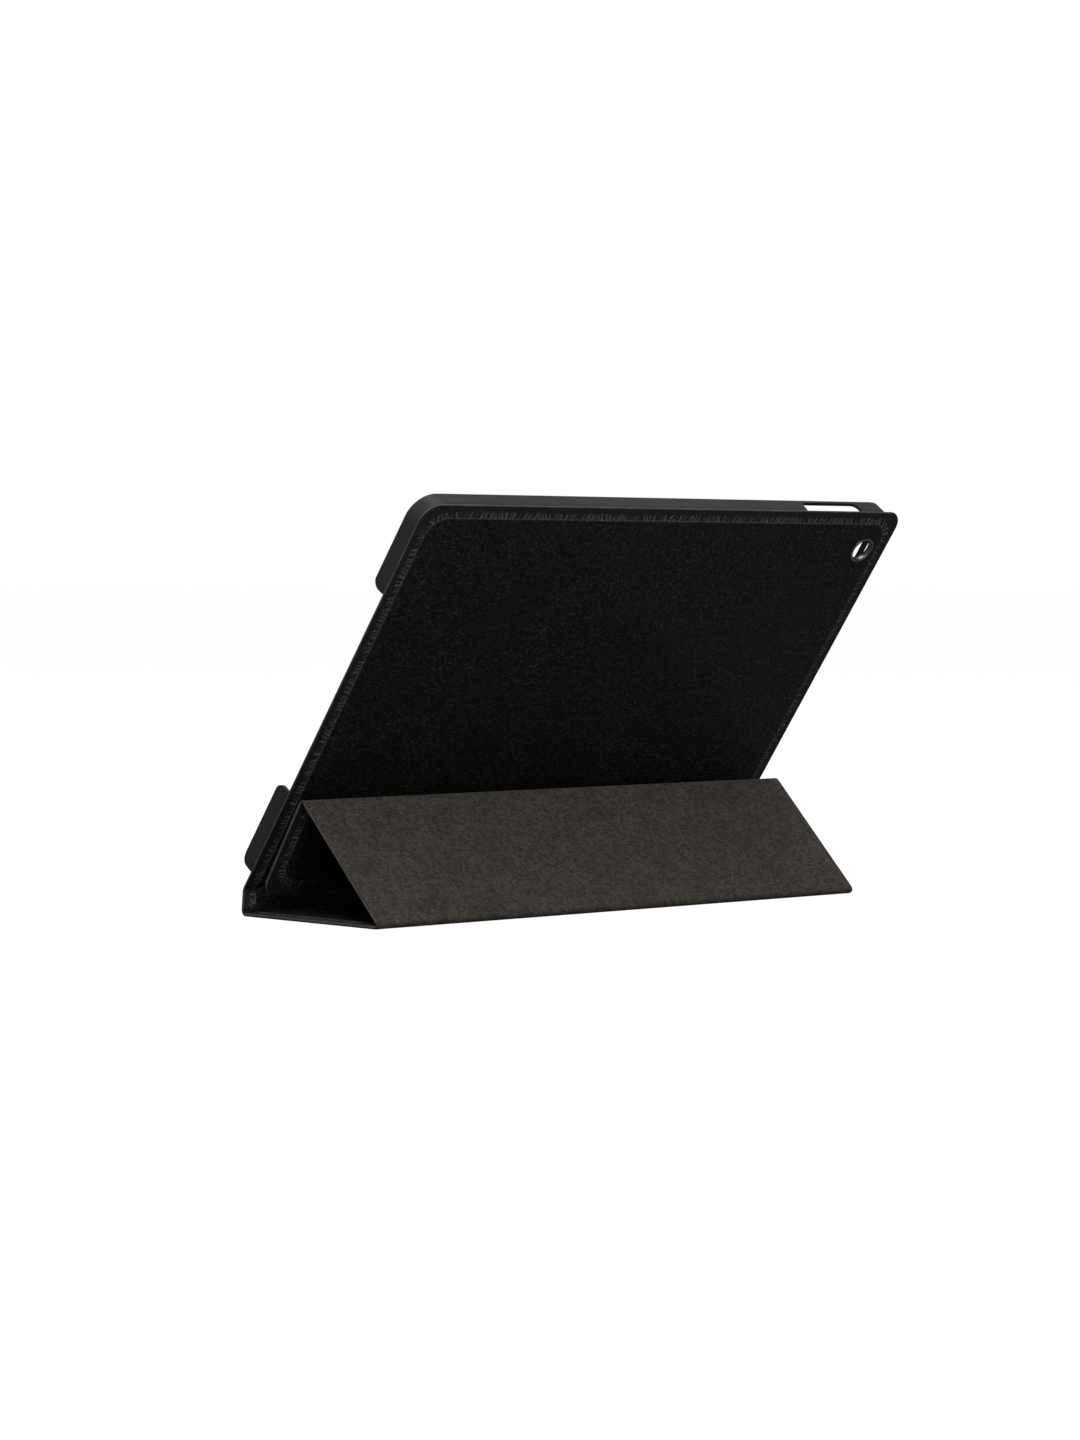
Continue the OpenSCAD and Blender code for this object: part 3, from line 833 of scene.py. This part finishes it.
def tray_felt(back, centre):
    """The soft pad on the tray's floor, with a rounded edge, open round the camera."""
    node = back.local(coords("tray_pad"))
    low, high = node[:, :2].min(0), node[:, :2].max(0)
    floor, face = node[:, 2].max(), node[:, 2].min()
    half, middle = high[0], (low[1] + high[1]) / 2
    at_end = np.abs(node[:, 0]) > half - TOUCH
    corner = high[1] - node[at_end, 1].max()
    hole = np.hypot(*(node[:, :2] - centre).T).min()
    loops, points = [], []

    def rounded(inset):
        radius = corner - inset
        loop = []
        for turn, (sx, sy) in enumerate(((1, 1), (-1, 1), (-1, -1), (1, -1))):
            cx, cy = sx * (half - corner), middle + sy * (high[1] - middle - corner)
            for a in np.linspace(turn, turn + 1, PAD_CORNER_STEPS + 1) * math.pi / 2:
                loop.append((cx + radius * math.cos(a), cy + radius * math.sin(a)))
        return loop

    def circle(inset):
        radius = hole + inset
        return [(centre[0] + radius * math.cos(a), centre[1] + radius * math.sin(a))
                for a in np.linspace(0, 2 * math.pi, PAD_HOLE_STEPS + 1)[:-1]]

    for make in (rounded, circle):
        for k, inset in enumerate(PAD_RINGS):
            new = make(inset)
            if k == 0:
                loops.append(list(range(len(points), len(points) + len(new))))
            points.extend(new)
    for v in spread(low[1] + PAD_MARGIN, high[1] - PAD_MARGIN, PAD_PITCH):
        for x in spread(-half + PAD_MARGIN, half - PAD_MARGIN, PAD_PITCH):
            if math.dist((x, v), centre) > hole + PAD_HOLE_MARGIN:
                points.append((x, v))
    flat = np.array(points)
    triangles = [t for t in triangulate(points, loops)
                 if math.dist(flat[t].mean(0), centre) > hole * HOLE_SHARE]
    x, v = np.abs(flat[:, 0]), np.abs(flat[:, 1] - middle)
    reach = high[1] - middle
    past_x, past_v = np.maximum(x - half + corner, 0), np.maximum(v - reach + corner, 0)
    corner_distance = corner - np.hypot(past_x, past_v)
    straight = np.minimum(half - x, reach - v)
    edge = np.where((x > half - corner) & (v > reach - corner), corner_distance, straight)
    edge = np.minimum(edge, np.hypot(flat[:, 0] - centre[0], flat[:, 1] - centre[1]) - hole)
    heights = face + felt_drop(edge)
    points, faces = close_slab(flat, heights, triangles, loops, middle, [(0, 0, floor)])
    piece = make_object("tray_pad_felt", back.place(points), faces, back.body)
    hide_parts("tray_pad")
    return piece


def declare_sheets(sheets):
    """Goes over the sheets' keys, passing over the spine, and does nothing with them."""
    for key in sheets:
        if key == "spine":
            continue


def build_case(materials):
    """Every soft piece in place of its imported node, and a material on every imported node."""
    back = Panel("back_case", "back_fold", "back_leather", "back_board")
    spine = Panel("spine", "back_fold", "spine_leather", "spine_strip", "spine_lining")
    base = Panel("base_panel", "base_fold", "base_leather", "base_board", "base_lining")
    slope = Panel("slope_panel", "far_fold", "slope_leather", "slope_board", "slope_lining")
    inner = Panel("inner_panel", "top_fold", "inner_leather", "inner_board", "inner_lining")

    centre, hole, dimple = camera_and_dimple(back)
    camera_hole = (centre, [hole + d for d in CAMERA_RINGS])

    def camera_dent(r):
        groove = -GROOVE_DEPTH * np.exp(-((r - hole - GROOVE_OUT) / GROOVE_WIDTH) ** 2)
        return groove - SUNK_DEPTH * smooth((hole + SUNK_OUT - r) / SUNK_WIDTH)

    def dimple_dent(r):
        pit = -PIT_DEPTH * (1 - smooth((r - PIT_FLOOR) / PIT_SLOPE))
        return pit + LIP_HEIGHT * np.exp(-((r - LIP_RADIUS) / LIP_WIDTH) ** 2)

    dents = [(centre, camera_dent), (dimple, dimple_dent)]
    skins = {
        "back": leather_skin("back_skin", back, True, [camera_hole], dents),
        "spine": leather_skin("spine_skin", spine),
        "base": leather_skin("base_skin", base),
        "slope": leather_skin("slope_skin", slope),
        "inner": leather_skin("inner_skin", inner, True),
    }
    felts = {
        "spine": felt_plate("spine_felt", spine),
        "base": felt_plate("base_felt", base),
        "slope": felt_plate("slope_felt", slope),
        "inner": felt_plate("inner_felt", inner, True),
    }
    panels = {"back": back, "spine": spine, "base": base, "slope": slope, "inner": inner}
    for key, skin in skins.items():
        panel = panels[key]
        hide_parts(panel.nodes["leather"])
        paint(skin, materials["leather"])
    for key, felt in felts.items():
        panel = panels[key]
        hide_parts(panel.nodes["lining"])
        paint(felt, materials["felt"])

    # Each fold: joint, the panels' edges that meet there, how far the leather's two faces
    # bulge towards the lining, and the CAD web that the leather stands for
    folds = [
        ("back_fold", (back, back.v0, -1), (spine, spine.v0, -1), (0.12, -0.1), "back_hinge"),
        ("base_fold", (spine, spine.v1, 1), (base, base.v0, -1), (0.45, -0.3), "base_hinge"),
        ("far_fold", (base, base.v1, 1), (slope, slope.v0, -1), (0.7, -0.35), "far_hinge"),
        ("top_fold", (slope, slope.v1, 1), (inner, inner.v0, -1), (0.62, -0.38), "top_hinge"),
    ]
    skin_strips, felt_strips = {}, {}
    for joint, side_a, side_b, bulges, web in folds:
        a, b = side_a[0], side_b[0]
        sides = (side_a, side_b)
        levels = ((a.top, a.board_low), (b.top, b.board_low))
        strip = fold_strip(joint + "_leather", sides, levels, bulges, a.half,
                           EDGE_RINGS + STEP_RINGS, leather_drop)
        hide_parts(web)
        paint(strip, materials["leather"])
        skin_strips[joint] = strip
        thick = b.board_low - b.low
        low_a = a.low if a.nodes["lining"] else a.board_low - thick
        tail = 0.0 if a.nodes["lining"] else FELT_TAIL
        levels = ((low_a, a.board_low), (b.low, b.board_low))
        strip = fold_strip(joint + "_felt", sides, levels, (0, 0), a.half - FELT_INSET,
                           FELT_RINGS, felt_drop, tail)
        paint(strip, materials["felt"])
        felt_strips[joint] = strip

    paint(ring_trim(back, centre), materials["ring"])
    pad = tray_felt(back, centre)
    paint(pad, materials["felt"])
    declare_sheets(skins)
    declare_sheets(felts)
    for node, key in (
        ("tray_shell", "plastic"), ("back_board", "board"), ("spine_strip", "board"),
        ("base_board", "board"), ("slope_board", "board"), ("inner_board", "board"),
        ("base_steel", "steel"), ("closing_magnets", "magnet"), ("sleep_magnet", "magnet"),
    ):
        paint(NODES[node], materials[key])


# ---- Stage ----

def build_stage():
    """The floor, just below the case's feet, and an even white sky."""
    signs = ((-1, -1), (1, -1), (1, 1), (-1, 1))
    corners = [(x * FLOOR_SIZE, y * FLOOR_SIZE, -FLOOR_BELOW) for x, y in signs]
    floor = make_object("floor", corners, [(0, 1, 2, 3)])
    paint(floor, floor_material())
    world = bpy.data.worlds.new("studio")
    world.use_nodes = True
    sky = world.node_tree.nodes["Background"]
    sky.inputs["Color"].default_value = (1.0, 1.0, 1.0, 1)
    world.node_tree.links.new(seen(world.node_tree, AMBIENT, 1.0), sky.inputs["Strength"])
    bpy.context.scene.world = world


def softbox(name, place, size, power):
    """A square lamp that faces the middle of the case."""
    lamp = bpy.data.lights.new(name, "AREA")
    lamp.shape = "SQUARE"
    lamp.size = size
    lamp.energy = power
    holder = bpy.data.objects.new(name, lamp)
    holder.location = place
    holder.rotation_euler = (LAMP_AIM - Vector(place)).to_track_quat("-Z", "Y").to_euler()
    bpy.context.scene.collection.objects.link(holder)


def build_camera():
    """The camera, on the named angles, aimed beside the middle of the case."""
    azimuth, elevation, roll = (math.radians(a) for a in (AZIMUTH, ELEVATION, ROLL))
    back = Vector((
        math.sin(azimuth) * math.cos(elevation),
        -math.cos(azimuth) * math.cos(elevation),
        math.sin(elevation),
    ))
    right = (-back).cross(Vector((0, 0, 1))).normalized()
    up = right.cross(-back)
    middle = (cad_low + cad_high) / 2
    target = Vector((middle.x, 0, middle.z)) + right * AIM_RIGHT + up * AIM_UP
    turned_right = right * math.cos(roll) + up * math.sin(roll)
    turned_up = up * math.cos(roll) - right * math.sin(roll)
    lens = bpy.data.cameras.new("camera")
    lens.lens = LENS
    lens.sensor_width = SENSOR
    lens.sensor_fit = "AUTO"
    lens.clip_start, lens.clip_end = 0.01, 100
    camera = bpy.data.objects.new("camera", lens)
    axes = Matrix((turned_right, turned_up, back)).transposed()
    camera.matrix_world = Matrix.Translation(target + back * DISTANCE) @ axes.to_4x4()
    bpy.context.scene.collection.objects.link(camera)
    bpy.context.scene.camera = camera


build_camera()
materials = {
    "leather": leather_material(),
    "felt": felt_material(),
    "plastic": plastic_material(),
    "board": board_material(),
}
for key, settings in METALS.items():
    materials[key] = metal_material(*settings)
build_case(materials)
build_stage()
for name, place, size, power in LAMPS:
    softbox(name, place, size, power)
bpy.context.scene.view_settings.view_transform = "Standard"
